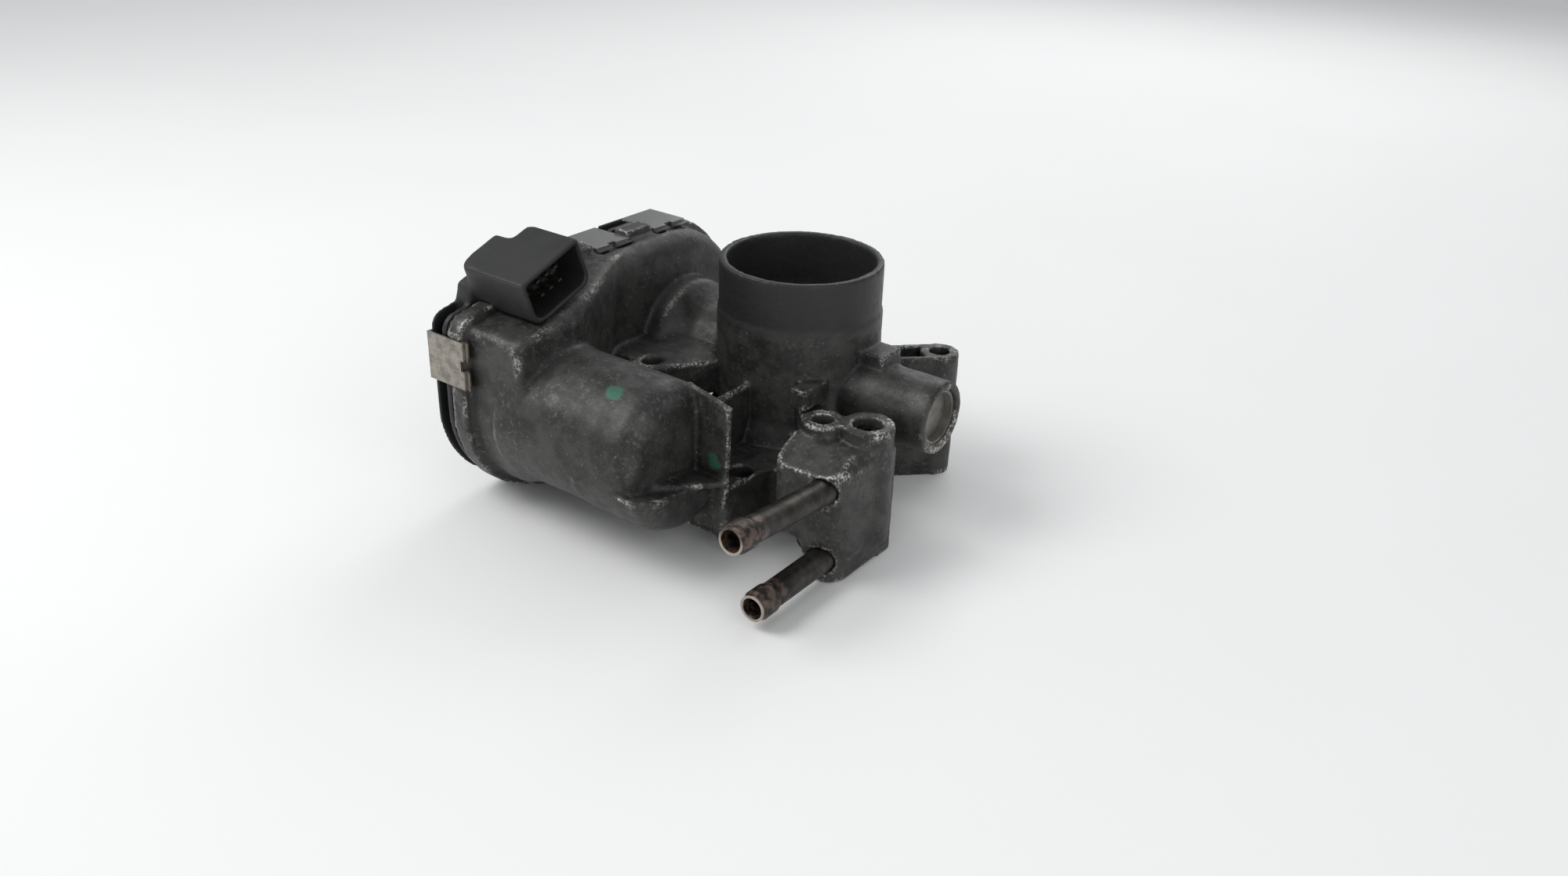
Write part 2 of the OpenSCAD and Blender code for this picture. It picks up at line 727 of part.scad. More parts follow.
module shaft_seals() color([0.13, 0.13, 0.13]) {
    tube_x(bearing_x - seal_w, bearing_x, seal_r, shaft_r + run_gap, 0, shaft_z);
    tube_x(needle_x + needle_w, needle_x + needle_w + seal_w, seal_r, shaft_r + run_gap, 0, shaft_z);
}

// Helical coil about the shaft, swept as one closed skin.
spring_turns = 3.5;
spring_steps = 24;
spring_sides = 8;
spring_x = sector_x + sector_w + spring_wire / 2 + 0.4;
spring_pitch = (pocket_x - 1 - spring_wire / 2 - spring_x) / spring_turns;
function spring_ring(i) = let (a = i * 360 / spring_steps, x = spring_x + spring_pitch * i / spring_steps)
    [for (k = [0 : spring_sides - 1])
        let (b = k * 360 / spring_sides, r = spring_r + spring_wire / 2 * cos(b))
        [x + spring_wire / 2 * sin(b), r * cos(a), shaft_z + r * sin(a)]];
module return_spring() color([0.35, 0.34, 0.33]) {
    last = spring_turns * spring_steps;
    points = [for (i = [0 : last]) each spring_ring(i)];
    sides = [for (i = [0 : last - 1], k = [0 : spring_sides - 1]) let (n = (k + 1) % spring_sides,
        p = i * spring_sides) [p + k, p + spring_sides + k, p + spring_sides + n, p + n]];
    ends = [[for (k = [0 : spring_sides - 1]) k],
        [for (k = [spring_sides - 1 : -1 : 0]) last * spring_sides + k]];
    polyhedron(points = points, faces = concat(sides, ends), convexity = 8);
}

// Grub screw from below that stops the sector's arm with the throttle closed.
module stop_screw() color([0.45, 0.45, 0.46]) difference() {
    post(stop_x, stop_y, stop_r, stop_z - stop_len, stop_z);
    translate([stop_x, stop_y, stop_z - stop_len - over]) cylinder(r = 1.1, h = 2 + over, $fn = 6);
}

module idler_pin() color([0.66, 0.66, 0.68])
    rod_x(outer_x + cover_wall + 0.4, floor_x + 4.5, idler_pin_r, idler_y, idler_z);

module flange_o_ring() color([0.12, 0.12, 0.12])
    translate([0, 0, o_ring_d / 2 - 0.8]) rotate_extrude() translate([groove_r, 0])
        intersection() {
            circle(r = o_ring_d / 2, $fn = 32);
            translate([-o_ring_d, -o_ring_d / 2 + 0.8]) square([2 * o_ring_d, o_ring_d]);
        }

// ---------------------------------------------------------------- coolant parts

// A pipe along +Z from its seat: straight tube, hose bead and mouth.
module pipe(length) {
    bead_z = length - 9;
    difference() {
        union() {
            translate([0, 0, -pipe_seat]) cylinder(r = pipe_r, h = pipe_seat + length);
            translate([0, 0, bead_z]) cylinder(r1 = pipe_r + 0.01, r2 = pipe_r + 0.55, h = 1.6);
            translate([0, 0, bead_z + 1.6]) cylinder(r = pipe_r + 0.55, h = 5);
            translate([0, 0, bead_z + 6.6]) cylinder(r1 = pipe_r + 0.55, r2 = pipe_r + 0.01, h = 1.2);
        }
        translate([0, 0, -pipe_seat - over])
            cylinder(r = pipe_r - pipe_wall, h = pipe_seat + length + 2 * over);
    }
}

module coolant_pipe_upper() color([0.3, 0.27, 0.24])
    translate([pipe_x, block_front_y, pipe_upper_z]) rotate([90 - pipe_upper_lean, 0, 0])
        pipe(pipe_upper_len);

module coolant_pipe_lower() color([0.3, 0.27, 0.24])
    translate([pipe_x, block_front_y, pipe_lower_z]) rotate([90, 0, 0]) pipe(pipe_lower_len);

module coolant_port_plug() color([0.2, 0.2, 0.2]) difference() {
    post(port_x, port_y, port_r, boss_h - 9, boss_h - 3);
    post(port_x, port_y, 2.6, boss_h - 6, boss_h);
}

// ---------------------------------------------------------------- motor, fixed pieces

module motor_can() color([0.55, 0.55, 0.57]) difference() {
    union() {
        rod_x(floor_x, motor_end_x, motor_r, motor_y, motor_z);
        rod_x(motor_end_x - eps, motor_end_x + 2, 5, motor_y, motor_z);
    }
    rod_x(floor_x - over, motor_end_x - can_wall, motor_r - can_wall, motor_y, motor_z);
    rod_x(floor_x, motor_end_x + 1, 3.6, motor_y, motor_z);
}

screw_r = 2;
screw_arm = casing_in_r + 4.2;
plate_thick = 1.6;
module motor_plate() color([0.6, 0.6, 0.6]) difference() {
    union() {
        rod_x(floor_x - plate_thick, floor_x, motor_r - 0.2, motor_y, motor_z);
        for (s = [-1, 1]) rod_x(floor_x - plate_thick, floor_x, 4, motor_y, motor_z + s * screw_arm);
        box(floor_x - plate_thick, floor_x, motor_y - 4, motor_y + 4,
            motor_z - screw_arm, motor_z + screw_arm);
    }
    rod_x(floor_x - 3, floor_x + over, 6.4, motor_y, motor_z);
    for (s = [-1, 1]) {
        rod_x(floor_x - 3, floor_x + over, screw_r + 0.2, motor_y, motor_z + s * screw_arm);
        rod_x(floor_x - 3, floor_x + over, 2.4, motor_y - 13, motor_z + s * 7);
    }
}

module motor_screws() color([0.5, 0.5, 0.52]) for (s = [-1, 1]) difference() {
    union() {
        rod_x(floor_x - plate_thick - 2, floor_x - plate_thick, 3.6, motor_y, motor_z + s * screw_arm);
        rod_x(floor_x - plate_thick - eps, floor_x + 9, screw_r, motor_y, motor_z + s * screw_arm);
    }
    translate([floor_x - plate_thick - 2 - over, motor_y, motor_z + s * screw_arm]) rotate([0, 90, 0])
        cylinder(r = 1.6, h = 1.5 + over, $fn = 6);
}

magnet_x = floor_x + 16;
magnet_len = motor_len - 25;
module motor_magnets() color([0.22, 0.22, 0.23]) intersection() {
    tube_x(magnet_x, magnet_x + magnet_len, motor_r - can_wall, motor_r - can_wall - magnet_t,
        motor_y, motor_z);
    for (s = [0, 180]) translate([magnet_x - over, motor_y, motor_z]) rotate([s, 0, 0])
        rotate([90, 0, 90]) linear_extrude(magnet_len + 2 * over)
            polygon([[0, 0], [40 * cos(25), 40 * sin(25)], [0, 50], [-40 * cos(25), 40 * sin(25)]]);
}

card_x = floor_x + 0.6;
module motor_brush_card() color([0.25, 0.2, 0.15]) difference() {
    union() {
        tube_x(card_x, card_x + 3, motor_r - can_wall - 0.1, 6.2, motor_y, motor_z);
        for (s = [-1, 1]) box(card_x + 3 - eps, card_x + 10, motor_y - 3.4, motor_y + 3.4,
            motor_z + s * 11.2 - 4.4, motor_z + s * 11.2 + 4.4);
    }
    for (s = [-1, 1]) box(card_x + 4, card_x + 9, motor_y - 2.2, motor_y + 2.2,
        motor_z + s * 11 - 6, motor_z + s * 11 + 6);
    for (s = [-1, 1]) rod_x(card_x - over, card_x + 4, 1.2, motor_y - 13, motor_z + s * 7);
}

module motor_brushes() color([0.12, 0.12, 0.12]) for (s = [-1, 1])
    box(card_x + 4.1, card_x + 8.9, motor_y - 2.1, motor_y + 2.1,
        motor_z + s * 10 - 4, motor_z + s * 10 + 4);

module motor_terminals() color([0.75, 0.6, 0.3]) for (s = [-1, 1])
    rod_x(floor_x - 6, card_x + 3, 1.2, motor_y - 13, motor_z + s * 7);

module motor_bushes() color([0.6, 0.45, 0.25]) {
    tube_x(card_x, card_x + 3, 6.2, motor_shaft_r + run_gap, motor_y, motor_z);
    tube_x(motor_end_x - can_wall - 1.6, motor_end_x + 1, 3.6, motor_shaft_r + run_gap, motor_y, motor_z);
}

// ---------------------------------------------------------------- throttle, turns on its shaft

shaft_x0 = sector_x - 1;
shaft_x1 = bearing_x + bearing_w;
flat_gap = plate_t / 2;

// Turns pieces that are drawn closed to their opening at rest.
module at_rest() {
    translate([0, 0, shaft_z]) rotate([rest_angle, 0, 0]) children();
}

module throttle_shaft() color([0.6, 0.6, 0.62]) difference() {
    rod_x(shaft_x0, shaft_x1, shaft_r, 0, shaft_z);
    at_rest() box(-bore_r + plate_gap, bore_r - plate_gap, -shaft_r - over, shaft_r + over,
        -flat_gap, flat_gap);
    at_rest() for (s = [-1, 1]) translate([s * bore_r * 0.42, 0, -over]) {
        cylinder(r = 1.5, h = shaft_r * 2);
        translate([0, 0, shaft_r * 0.8 + over]) cylinder(r = 2.8, h = shaft_r);
        translate([0, 0, over - shaft_r - over]) cylinder(r = 1.2, h = shaft_r + over);
    }
}

module throttle_plate() color([0.72, 0.68, 0.5]) at_rest() difference() {
    cylinder(r = bore_r - plate_gap, h = plate_t, center = true);
    for (s = [-1, 1]) translate([s * bore_r * 0.42, 0, 0]) cylinder(r = 1.5, h = plate_t * 2, center = true);
}

module plate_screws() color([0.5, 0.5, 0.5]) at_rest() for (s = [-1, 1])
    translate([s * bore_r * 0.42, 0, 0]) difference() {
        union() {
            translate([0, 0, -shaft_r + 0.8]) cylinder(r = 1.2, h = shaft_r);
            cylinder(r = 1.5, h = shaft_r * 0.8);
            translate([0, 0, shaft_r * 0.8]) cylinder(r = 2.6, h = 1.8);
        }
        translate([0, 0, shaft_r * 0.8 + 0.9]) cylinder(r = 1.3, h = 3, $fn = 6);
    }

// Involute tooth outline: half the tooth's angle at a radius, then the points of a whole wheel.
function base_r_of(n) = gear_m * n / 2 * cos(pressure_angle);
function roll(n, r) = sqrt(max(pow(r / base_r_of(n), 2) - 1, 0));
function involute(n, r) = roll(n, r) * 180 / PI - atan(roll(n, r));
function half_tooth(n, r) = 90 / n - backlash / (2 * gear_m * n) * 180 / PI
    + involute(n, gear_m * n / 2) - involute(n, r);
function tooth_radii(n) = let (p = gear_m * n / 2, f = p - dedendum * gear_m, t = p + addendum * gear_m,
    b = max(base_r_of(n), f + 0.05)) [f, b, b + (t - b) / 3, b + (t - b) * 2 / 3, t];
function tooth(n, a) = let (radii = tooth_radii(n)) concat(
    [for (r = radii) let (h = half_tooth(n, r)) r * [cos(a - h), sin(a - h)]],
    [for (i = [4 : -1 : 0]) let (r = radii[i], h = half_tooth(n, r)) r * [cos(a + h), sin(a + h)]]);
function wheel(n, a) = [for (i = [0 : n - 1]) each tooth(n, a + i * 360 / n)];

// A wheel with a tooth, or a gap, that points in a direction.
module wheel_with_tooth(n, dir) polygon(wheel(n, dir));
module wheel_with_gap(n, dir) polygon(wheel(n, dir + 180 / n));

module sector_gear() color([0.75, 0.73, 0.66]) difference() {
    union() {
        along_x(sector_x, sector_x + sector_w) translate([0, shaft_z]) {
            intersection() {
                wheel_with_tooth(sector_n, idler_dir);
                polygon(concat([[0, 0]], [for (i = [0 : 6])
                    let (a = idler_dir - sector_front + i * (sector_front + sector_back) / 6)
                    80 * [cos(a), sin(a)]]));
            }
            circle(r = hub_r + 3);
            rotate(arm_dir) translate([0, -arm_half]) square([arm_len, 2 * arm_half]);
        }
        rod_x(sector_x - 1, sector_x + sector_w + 0.5, hub_r, 0, shaft_z);
    }
    rod_x(sector_x - 4, sector_x + sector_w + 3, shaft_r, 0, shaft_z);
    along_x(sector_x - over, sector_x + 1.6) translate([0, shaft_z]) intersection() {
        difference() {
            circle(r = gear_m * sector_n / 2 - 4.5);
            circle(r = hub_r + 4.5);
        }
        polygon([[0, 0], 60 * [cos(idler_dir - sector_front + 8), sin(idler_dir - sector_front + 8)],
            80 * [cos(idler_dir - 40), sin(idler_dir - 40)],
            60 * [cos(idler_dir + sector_back - 8), sin(idler_dir + sector_back - 8)]]);
    }
}

module sensor_magnet() color([0.2, 0.2, 0.21])
    tube_x(sector_x - 6.5, sector_x - 1, 7, 2, 0, shaft_z);

// ---------------------------------------------------------------- idler

module idler_gear() color([0.8, 0.78, 0.7]) translate([0, idler_y, idler_z]) difference() {
    union() {
        along_x(idler_x + idler_w - eps, floor_x - 0.7) wheel_with_gap(idler_small_n, idler_dir + 180);
        along_x(idler_x, idler_x + idler_w) wheel_with_tooth(idler_large_n, motor_dir);
        rod_x(idler_x - 0.5, idler_x + eps, idler_pin_r + 2, 0, 0);
    }
    rod_x(idler_x - 3, floor_x, idler_pin_r + run_gap, 0, 0);
    for (i = [0 : 5]) rotate([i * 60 + 30, 0, 0])
        rod_x(idler_x - over, idler_x + idler_w + over, gear_m * 6, 0, gear_m * idler_large_n * 0.31);
}

// ---------------------------------------------------------------- motor, turning pieces

module motor_shaft() color([0.7, 0.7, 0.72])
    rod_x(pinion_x - 0.5, motor_end_x + 0.5, motor_shaft_r, motor_y, motor_z);

core_x = magnet_x + 3;
core_len = magnet_len - 8;
module armature_core() color([0.4, 0.4, 0.42]) difference() {
    rod_x(core_x, core_x + core_len, armature_r, motor_y, motor_z);
    rod_x(core_x - over, core_x + core_len + over, motor_shaft_r, motor_y, motor_z);
    for (i = [0 : 6]) translate([core_x - over, motor_y, motor_z]) rotate([i * 360 / 7, 0, 0])
        box(0, core_len + 2 * over, -1.2, 1.2, armature_r - 8, armature_r + 1);
}

module armature_windings() color([0.55, 0.3, 0.15]) for (side = [-1, 1]) {
    x = side < 0 ? core_x - 3.4 : core_x + core_len + 0.1;
    tube_x(x, x + 3.3, armature_r - 2, motor_shaft_r + 1, motor_y, motor_z);
}

comm_r = 5.6;
module commutator() color([0.72, 0.45, 0.25]) difference() {
    tube_x(card_x + 3.4, core_x - 3.6, comm_r, motor_shaft_r, motor_y, motor_z);
    for (i = [0 : 6]) translate([0, motor_y, motor_z]) rotate([i * 360 / 7, 0, 0])
        box(card_x, core_x, -0.25, 0.25, comm_r - 1, comm_r + 1);
}

module motor_pinion() color([0.76, 0.66, 0.36]) translate([0, motor_y, motor_z]) difference() {
    along_x(pinion_x, idler_x + idler_w + 1) wheel_with_gap(pinion_n, motor_dir + 180);
    rod_x(pinion_x - over, idler_x + idler_w + 3, motor_shaft_r, 0, 0);
}

housing();
gear_cover();
cover_seal();
cover_clips();
connector_pins();
sensor_board();
shaft_end_plug();
end_bearing();
needle_bearing();
shaft_seals();
return_spring();
stop_screw();
idler_pin();
flange_o_ring();
coolant_pipe_upper();
coolant_pipe_lower();
coolant_port_plug();
motor_can();
motor_plate();
motor_screws();
motor_magnets();
motor_brush_card();
motor_brushes();
motor_terminals();
motor_bushes();
throttle_shaft();
throttle_plate();
plate_screws();
sector_gear();
sensor_magnet();
idler_gear();
motor_shaft();
armature_core();
armature_windings();
commutator();
motor_pinion();
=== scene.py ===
"""Looks of an electronic throttle body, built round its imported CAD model.

The die-cast housing and the moulded cover are rebuilt as softened skins with the rounded edges of
real castings and mouldings. Every other piece keeps its CAD shape, and every piece gets a
procedural finish. All lengths are in metres unless a name ends in _mm.
"""

import json
import logging
import math
from dataclasses import dataclass, field
from enum import Enum
from typing import Any

import bpy
import numpy as np
from mathutils import Matrix, Vector

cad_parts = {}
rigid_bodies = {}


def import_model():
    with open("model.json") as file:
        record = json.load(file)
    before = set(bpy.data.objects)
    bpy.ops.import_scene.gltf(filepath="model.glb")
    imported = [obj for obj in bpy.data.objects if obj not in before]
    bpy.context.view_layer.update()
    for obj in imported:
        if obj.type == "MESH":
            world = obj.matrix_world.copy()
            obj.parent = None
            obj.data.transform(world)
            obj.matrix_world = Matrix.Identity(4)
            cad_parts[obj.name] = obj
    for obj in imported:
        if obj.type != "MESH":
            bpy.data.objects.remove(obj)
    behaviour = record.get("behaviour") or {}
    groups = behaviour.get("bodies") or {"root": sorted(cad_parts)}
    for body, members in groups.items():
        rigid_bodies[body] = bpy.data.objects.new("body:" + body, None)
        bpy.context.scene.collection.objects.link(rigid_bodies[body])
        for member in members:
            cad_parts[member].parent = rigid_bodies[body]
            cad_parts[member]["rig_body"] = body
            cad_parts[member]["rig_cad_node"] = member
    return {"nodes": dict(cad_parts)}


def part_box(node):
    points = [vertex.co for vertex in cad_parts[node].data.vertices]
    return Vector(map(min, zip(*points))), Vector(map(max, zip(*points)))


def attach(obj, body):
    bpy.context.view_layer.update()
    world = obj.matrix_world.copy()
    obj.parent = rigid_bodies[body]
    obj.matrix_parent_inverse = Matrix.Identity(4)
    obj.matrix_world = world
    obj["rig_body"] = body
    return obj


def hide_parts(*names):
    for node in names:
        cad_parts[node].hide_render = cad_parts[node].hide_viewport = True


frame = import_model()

LOG = logging.getLogger("throttle_body")
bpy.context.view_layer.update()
MM = 0.001

Colour = tuple[float, float, float, float]
Socket = bpy.types.NodeSocket
Tree = bpy.types.NodeTree


# ------------------------------------------------------------------ small helpers


def srgb(code: str) -> Colour:
    """Turn an sRGB hex colour into linear RGBA.

    Args:
        code: the colour, such as "#3a3a39".

    Returns:
        Linear red, green, blue and an alpha of one.
    """
    parts = [int(code[i : i + 2], 16) / 255 for i in (1, 3, 5)]
    red, green, blue = (
        c / 12.92 if c <= 0.04045 else ((c + 0.055) / 1.055) ** 2.4 for c in parts
    )
    return (red, green, blue, 1.0)


def per_mm(size_mm: float) -> float:
    """Texture scale whose features are about this many millimetres across."""
    return 1000.0 / size_mm


def add(
    tree: Tree,
    kind: str,
    values: dict[Any, Any] | None = None,
    links: dict[Any, Socket] | None = None,
    **settings: Any,
) -> bpy.types.Node:
    """Add a node with its settings, constants and incoming links.

    Args:
        tree: the node tree that gets the node.
        kind: the node's type name.
        values: socket name or index to constant.
        links: socket name or index to the output that feeds it.
        **settings: the node's own properties.

    Returns:
        The new node.
    """
    node = tree.nodes.new(kind)
    for key, value in settings.items():
        setattr(node, key, value)
    for key, value in (values or {}).items():
        node.inputs[key].default_value = value
    for key, source in (links or {}).items():
        tree.links.new(source, node.inputs[key])
    return node


def mask(tree: Tree, source: Socket, low: float, high: float) -> Socket:
    """Smooth step of a value between two limits, from zero to one."""
    node = add(
        tree,
        "ShaderNodeMapRange",
        {"From Min": low, "From Max": high},
        {"Value": source},
        interpolation_type="SMOOTHSTEP",
    )
    return node.outputs["Result"]


def maths(tree: Tree, operation: str, first: Socket, second: Socket | float) -> Socket:
    """One arithmetic step on one or two values."""
    linked = {0: first}
    constant = {}
    if isinstance(second, (int, float)):
        constant[1] = second
    else:
        linked[1] = second
    return add(tree, "ShaderNodeMath", constant, linked, operation=operation).outputs[0]


def blend_colour(tree: Tree, factor: Socket, first: Any, second: Any) -> Socket:
    """Mix two colours, each a socket or a linear colour, by a factor."""
    node = add(tree, "ShaderNodeMix", links={0: factor}, data_type="RGBA")
    for index, colour in ((6, first), (7, second)):
        if isinstance(colour, bpy.types.NodeSocket):
            tree.links.new(colour, node.inputs[index])
        else:
            node.inputs[index].default_value = colour
    return node.outputs[2]


def noise(tree: Tree, where: Socket, size_mm: float, detail: float = 3.0) -> Socket:
    """Noise value whose blotches are about size_mm across."""
    node = add(
        tree,
        "ShaderNodeTexNoise",
        {"Scale": per_mm(size_mm), "Detail": detail, "Roughness": 0.6},
        {"Vector": where},
    )
    return node.outputs[0]


def deselect() -> None:
    """Leave object mode with nothing selected."""
    if bpy.context.object and bpy.context.object.mode != "OBJECT":
        bpy.ops.object.mode_set(mode="OBJECT")
    bpy.ops.object.select_all(action="DESELECT")


def make_active(piece: bpy.types.Object) -> None:
    """Select one object alone and make it the active one."""
    deselect()
    piece.hide_set(False)
    piece.select_set(True)
    bpy.context.view_layer.objects.active = piece


def apply_modifier(piece: bpy.types.Object, kind: str, **settings: Any) -> None:
    """Add a modifier with its settings and apply it at once."""
    make_active(piece)
    modifier = piece.modifiers.new(kind.title(), kind)
    for key, value in settings.items():
        setattr(modifier, key, value)
    bpy.ops.object.modifier_apply(modifier=modifier.name)


def copy_of_node(node: str, name: str) -> bpy.types.Object:
    """Duplicate a CAD node as a free piece with its loose triangles merged.

    Args:
        node: the CAD node's name.
        name: the new piece's name.

    Returns:
        The new object, at the origin.
    """
    make_active(frame["nodes"][node])
    bpy.ops.object.duplicate()
    piece = bpy.context.object
    piece.name = piece.data.name = name
    piece.parent = None
    piece.matrix_world = Matrix.Identity(4)
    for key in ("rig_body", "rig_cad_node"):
        if key in piece:
            del piece[key]
    make_active(piece)
    bpy.ops.object.mode_set(mode="EDIT")
    bpy.ops.mesh.select_all(action="SELECT")
    bpy.ops.mesh.remove_doubles(threshold=1e-6)
    bpy.ops.mesh.customdata_custom_splitnormals_clear()
    bpy.ops.object.mode_set(mode="OBJECT")
    return piece


def mark_edges(piece: bpy.types.Object, reach: int) -> None:
    """Store how far each point stands proud of its softened surroundings, in millimetres.

    Corners, which the cast finish paints with a highlight and wear, read as positive, and hollows,
    which it paints with shade and grime, read as negative. The values go in the point attribute "proud".

    Args:
        piece: a closed mesh with even, small faces.
        reach: softening passes, which set how wide an edge reads.
    """
    mesh = piece.data
    count = len(mesh.vertices)
    start = np.empty(count * 3)
    mesh.vertices.foreach_get("co", start)
    start = start.reshape(-1, 3)
    ends = np.empty(len(mesh.edges) * 2, dtype=np.int64)
    mesh.edges.foreach_get("vertices", ends)
    first, second = ends.reshape(-1, 2).T
    share = np.bincount(np.concatenate([first, second]), minlength=count)[:, None]
    place = start.copy()
    for _ in range(reach):
        total = np.zeros_like(place)
        for axis in range(3):
            total[:, axis] = np.bincount(
                np.concatenate([first, second]),
                np.concatenate([place[second, axis], place[first, axis]]),
                count,
            )
        place = total / np.maximum(share, 1)
    normals = np.empty(count * 3)
    mesh.vertex_normals.foreach_get("vector", normals)
    proud = ((start - place) * normals.reshape(-1, 3)).sum(axis=1) / MM
    mesh.attributes.new("proud", "FLOAT", "POINT").data.foreach_set(
        "value", proud.astype(np.float32)
    )


def dress(piece: bpy.types.Object, material: bpy.types.Material) -> None:
    """Give a piece one material in all its slots."""
    if not piece.material_slots:
        piece.data.materials.append(material)
    for slot in piece.material_slots:
        slot.material = material


# ------------------------------------------------------------------ finishes


class Texture(Enum):
    """How a finish's surface was made."""

    MOULDED = "moulded"
    BRUSHED = "brushed"
    TURNED = "turned"
    SINTERED = "sintered"
    WOUND = "wound"
    LAMINATED = "laminated"


@dataclass(frozen=True)
class Finish:
    """A finish of one made kind, with two tones and a relief of real size.

    Attributes:
        name: common name of the real material.
        tones: darker and lighter sRGB colour.
        metallic: one for bare metal, zero for the rest.
        roughness: middle roughness.
        texture: how the surface was made.
        grain_mm: size of the fine relief.
        patch_mm: size of the soft uneven patches.
        relief_mm: depth of the fine relief.
    """

    name: str
    tones: tuple[str, str]
    metallic: float
    roughness: float
    texture: Texture
    grain_mm: float = 0.5
    patch_mm: float = 12.0
    relief_mm: float = 0.03

    def relief(self, tree: Tree, where: Socket) -> Socket:
        """Height pattern of the made surface.

        Args:
            tree: the material's node tree.
            where: Object coordinates.

        Returns:
            A value socket, zero to one.
        """
        if self.texture is Texture.BRUSHED:
            stretched = add(
                tree, "ShaderNodeMapping", {"Scale": (0.06, 1.0, 1.0)}, {"Vector": where}
            )
            return noise(tree, stretched.outputs[0], self.grain_mm)
        if self.texture is Texture.TURNED:
            rings = add(
                tree,
                "ShaderNodeTexWave",
                {"Scale": per_mm(self.grain_mm) / 20, "Distortion": 1.5, "Detail": 2.0},
                {"Vector": where},
                wave_type="BANDS",
                bands_direction="X",
            )
            return rings.outputs["Fac"]
        if self.texture in (Texture.WOUND, Texture.LAMINATED):
            bands = add(
                tree,
                "ShaderNodeTexWave",
                {"Scale": per_mm(self.grain_mm) / 20, "Distortion": 0.4},
                {"Vector": where},
                wave_type="RINGS" if self.texture is Texture.WOUND else "BANDS",
                bands_direction="X",
            )
            return bands.outputs["Fac"]
        if self.texture is Texture.SINTERED:
            cells = add(
                tree, "ShaderNodeTexVoronoi", {"Scale": per_mm(self.grain_mm)}, {"Vector": where}
            )
            return cells.outputs["Distance"]
        return noise(tree, where, self.grain_mm)

    def colour(self, tree: Tree, where: Socket, relief: Socket) -> Socket:
        """Two tones mixed by soft patches and by the relief."""
        patches = mask(tree, noise(tree, where, self.patch_mm), 0.35, 0.65)
        mixed = maths(tree, "MULTIPLY_ADD", patches, 0.7)
        tree.links.new(relief, mixed.node.inputs[2])
        factor = mask(tree, mixed, 0.2, 1.4)
        return blend_colour(tree, factor, srgb(self.tones[0]), srgb(self.tones[1]))

    def build(self) -> bpy.types.Material:
        """Make the material.

        Returns:
            A node material on Object coordinates.
        """
        material = bpy.data.materials.new(self.name)
        material.use_nodes = True
        tree = material.node_tree
        shader = tree.nodes["Principled BSDF"]
        where = add(tree, "ShaderNodeTexCoord").outputs["Object"]
        relief = self.relief(tree, where)
        tree.links.new(self.colour(tree, where, relief), shader.inputs["Base Color"])
        uneven = maths(tree, "MULTIPLY_ADD", noise(tree, where, self.patch_mm / 3), 0.3)
        uneven.node.inputs[2].default_value = self.roughness - 0.15
        tree.links.new(uneven, shader.inputs["Roughness"])
        bump = add(
            tree,
            "ShaderNodeBump",
            {"Strength": 0.6, "Distance": self.relief_mm * MM},
            {"Height": relief},
        )
        tree.links.new(bump.outputs[0], shader.inputs["Normal"])
        shader.inputs["Metallic"].default_value = self.metallic
        self.finish(tree, shader, where)
        return material

    def finish(self, tree: Tree, shader: bpy.types.Node, where: Socket) -> None:
        """Hook for what a special finish adds to the shader."""


